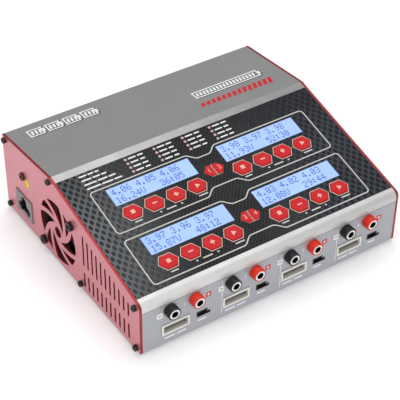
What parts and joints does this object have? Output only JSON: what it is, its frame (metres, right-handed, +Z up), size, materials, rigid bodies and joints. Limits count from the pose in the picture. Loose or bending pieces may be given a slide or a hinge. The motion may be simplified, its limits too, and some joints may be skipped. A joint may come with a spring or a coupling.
{
  "type": "balance battery charger",
  "caption": "Bench battery charger with a sloping display and key face, red end plates, side fans, a mains inlet and front output, balance and temperature sockets.",
  "frame": {"origin": "middle of the bounding box, on the surface under the feet", "axes": "+X to the right of a person who faces the sockets, +Y to the back, +Z up"},
  "size_m": [0.2156, 0.1886, 0.0713],
  "materials": {
    "cover_grey": "satin",
    "panel_grey": "satin",
    "anodised_red": "brushed anodised",
    "film_black": "printed film",
    "rubber": "matt",
    "screw_black": "black oxide",
    "screw_steel": "bright",
    "fan_black": "moulded",
    "inlet_plastic": "moulded",
    "pin_metal": "tinned",
    "knob_black": "ribbed",
    "knob_red": "ribbed",
    "plated_metal": "nickel plated",
    "lead_metal": "plain",
    "ivory_plastic": "moulded",
    "socket_black": "moulded",
    "display_glass": "lit display",
    "module_plastic": "moulded",
    "board_green": "solder mask",
    "ferrite": "sintered",
    "capacitor_metal": "sleeved can",
    "heatsink_metal": "extruded",
    "key_red": "gloss"
  },
  "bodies": {
    "housing": {"top_cover": "cover_grey", "front_panel": "panel_grey", "base_tray": "cover_grey", "left_side_plate": "anodised_red", "right_side_plate": "anodised_red", "keypad_film": "film_black", "feet": "rubber", "left_plate_screws": "screw_black", "right_plate_screws": "screw_black", "earth_screw": "screw_steel", "left_fan_screws": "screw_black", "right_fan_screws": "screw_black", "left_fan_frame": "fan_black", "right_fan_frame": "fan_black", "mains_inlet": "inlet_plastic", "mains_inlet_pins": "pin_metal", "dc_input_socket": "inlet_plastic", "dc_input_pins": "pin_metal", "black_sockets": "knob_black", "red_sockets": "knob_red", "socket_sleeves": "plated_metal", "socket_nuts": "screw_steel", "output_leads": "lead_metal", "balance_sockets": "ivory_plastic", "balance_pins": "pin_metal", "temperature_sockets": "socket_black", "temperature_pins": "pin_metal", "lcd_glasses": "display_glass", "lcd_modules": "module_plastic", "display_board": "board_green", "key_switches": "fan_black", "main_board": "board_green", "power_board": "board_green", "board_standoffs": "lead_metal", "inductors": "ferrite", "transformer": "ferrite", "capacitors": "capacitor_metal", "heatsinks": "heatsink_metal"},
    "channel_1_stop_key": {"channel_1_stop_key": "key_red"},
    "channel_1_down_key": {"channel_1_down_key": "key_red"},
    "channel_1_up_key": {"channel_1_up_key": "key_red"},
    "channel_1_start_key": {"channel_1_start_key": "key_red"},
    "channel_1_select_key": {"channel_1_select_key": "key_red"},
    "channel_2_stop_key": {"channel_2_stop_key": "key_red"},
    "channel_2_down_key": {"channel_2_down_key": "key_red"},
    "channel_2_up_key": {"channel_2_up_key": "key_red"},
    "channel_2_start_key": {"channel_2_start_key": "key_red"},
    "channel_2_select_key": {"channel_2_select_key": "key_red"},
    "channel_3_stop_key": {"channel_3_stop_key": "key_red"},
    "channel_3_down_key": {"channel_3_down_key": "key_red"},
    "channel_3_up_key": {"channel_3_up_key": "key_red"},
    "channel_3_start_key": {"channel_3_start_key": "key_red"},
    "channel_3_select_key": {"channel_3_select_key": "key_red"},
    "channel_4_stop_key": {"channel_4_stop_key": "key_red"},
    "channel_4_down_key": {"channel_4_down_key": "key_red"},
    "channel_4_up_key": {"channel_4_up_key": "key_red"},
    "channel_4_start_key": {"channel_4_start_key": "key_red"},
    "channel_4_select_key": {"channel_4_select_key": "key_red"},
    "left_fan_rotor": {"left_fan_rotor": "fan_black"},
    "right_fan_rotor": {"right_fan_rotor": "fan_black"}
  },
  "joints": [
    {"name": "channel_1_stop_key_press", "type": "slide", "parent": "housing", "child": "channel_1_stop_key", "axis": [0, 0.2367, -0.9716], "range_m": [0, 0.0005], "stiffness_N_per_m": 200, "springref_m": -0.001},
    {"name": "channel_1_down_key_press", "type": "slide", "parent": "housing", "child": "channel_1_down_key", "axis": [0, 0.2367, -0.9716], "range_m": [0, 0.0005], "stiffness_N_per_m": 200, "springref_m": -0.001},
    {"name": "channel_1_up_key_press", "type": "slide", "parent": "housing", "child": "channel_1_up_key", "axis": [0, 0.2367, -0.9716], "range_m": [0, 0.0005], "stiffness_N_per_m": 200, "springref_m": -0.001},
    {"name": "channel_1_start_key_press", "type": "slide", "parent": "housing", "child": "channel_1_start_key", "axis": [0, 0.2367, -0.9716], "range_m": [0, 0.0005], "stiffness_N_per_m": 200, "springref_m": -0.001},
    {"name": "channel_1_select_key_press", "type": "slide", "parent": "housing", "child": "channel_1_select_key", "axis": [0, 0.2367, -0.9716], "range_m": [0, 0.0005], "stiffness_N_per_m": 200, "springref_m": -0.001},
    {"name": "channel_2_stop_key_press", "type": "slide", "parent": "housing", "child": "channel_2_stop_key", "axis": [0, 0.2367, -0.9716], "range_m": [0, 0.0005], "stiffness_N_per_m": 200, "springref_m": -0.001},
    {"name": "channel_2_down_key_press", "type": "slide", "parent": "housing", "child": "channel_2_down_key", "axis": [0, 0.2367, -0.9716], "range_m": [0, 0.0005], "stiffness_N_per_m": 200, "springref_m": -0.001},
    {"name": "channel_2_up_key_press", "type": "slide", "parent": "housing", "child": "channel_2_up_key", "axis": [0, 0.2367, -0.9716], "range_m": [0, 0.0005], "stiffness_N_per_m": 200, "springref_m": -0.001},
    {"name": "channel_2_start_key_press", "type": "slide", "parent": "housing", "child": "channel_2_start_key", "axis": [0, 0.2367, -0.9716], "range_m": [0, 0.0005], "stiffness_N_per_m": 200, "springref_m": -0.001},
    {"name": "channel_2_select_key_press", "type": "slide", "parent": "housing", "child": "channel_2_select_key", "axis": [0, 0.2367, -0.9716], "range_m": [0, 0.0005], "stiffness_N_per_m": 200, "springref_m": -0.001},
    {"name": "channel_3_stop_key_press", "type": "slide", "parent": "housing", "child": "channel_3_stop_key", "axis": [0, 0.2367, -0.9716], "range_m": [0, 0.0005], "stiffness_N_per_m": 200, "springref_m": -0.001},
    {"name": "channel_3_down_key_press", "type": "slide", "parent": "housing", "child": "channel_3_down_key", "axis": [0, 0.2367, -0.9716], "range_m": [0, 0.0005], "stiffness_N_per_m": 200, "springref_m": -0.001},
    {"name": "channel_3_up_key_press", "type": "slide", "parent": "housing", "child": "channel_3_up_key", "axis": [0, 0.2367, -0.9716], "range_m": [0, 0.0005], "stiffness_N_per_m": 200, "springref_m": -0.001},
    {"name": "channel_3_start_key_press", "type": "slide", "parent": "housing", "child": "channel_3_start_key", "axis": [0, 0.2367, -0.9716], "range_m": [0, 0.0005], "stiffness_N_per_m": 200, "springref_m": -0.001},
    {"name": "channel_3_select_key_press", "type": "slide", "parent": "housing", "child": "channel_3_select_key", "axis": [0, 0.2367, -0.9716], "range_m": [0, 0.0005], "stiffness_N_per_m": 200, "springref_m": -0.001},
    {"name": "channel_4_stop_key_press", "type": "slide", "parent": "housing", "child": "channel_4_stop_key", "axis": [0, 0.2367, -0.9716], "range_m": [0, 0.0005], "stiffness_N_per_m": 200, "springref_m": -0.001},
    {"name": "channel_4_down_key_press", "type": "slide", "parent": "housing", "child": "channel_4_down_key", "axis": [0, 0.2367, -0.9716], "range_m": [0, 0.0005], "stiffness_N_per_m": 200, "springref_m": -0.001},
    {"name": "channel_4_up_key_press", "type": "slide", "parent": "housing", "child": "channel_4_up_key", "axis": [0, 0.2367, -0.9716], "range_m": [0, 0.0005], "stiffness_N_per_m": 200, "springref_m": -0.001},
    {"name": "channel_4_start_key_press", "type": "slide", "parent": "housing", "child": "channel_4_start_key", "axis": [0, 0.2367, -0.9716], "range_m": [0, 0.0005], "stiffness_N_per_m": 200, "springref_m": -0.001},
    {"name": "channel_4_select_key_press", "type": "slide", "parent": "housing", "child": "channel_4_select_key", "axis": [0, 0.2367, -0.9716], "range_m": [0, 0.0005], "stiffness_N_per_m": 200, "springref_m": -0.001},
    {"name": "left_fan_spin", "type": "hinge", "parent": "housing", "child": "left_fan_rotor", "pos_m": [-0.0955, 0.01755, 0.0299], "axis": [1, 0, 0], "continuous": true},
    {"name": "right_fan_spin", "type": "hinge", "parent": "housing", "child": "right_fan_rotor", "pos_m": [0.0955, 0.01755, 0.0299], "axis": [1, 0, 0], "continuous": true}
  ]
}
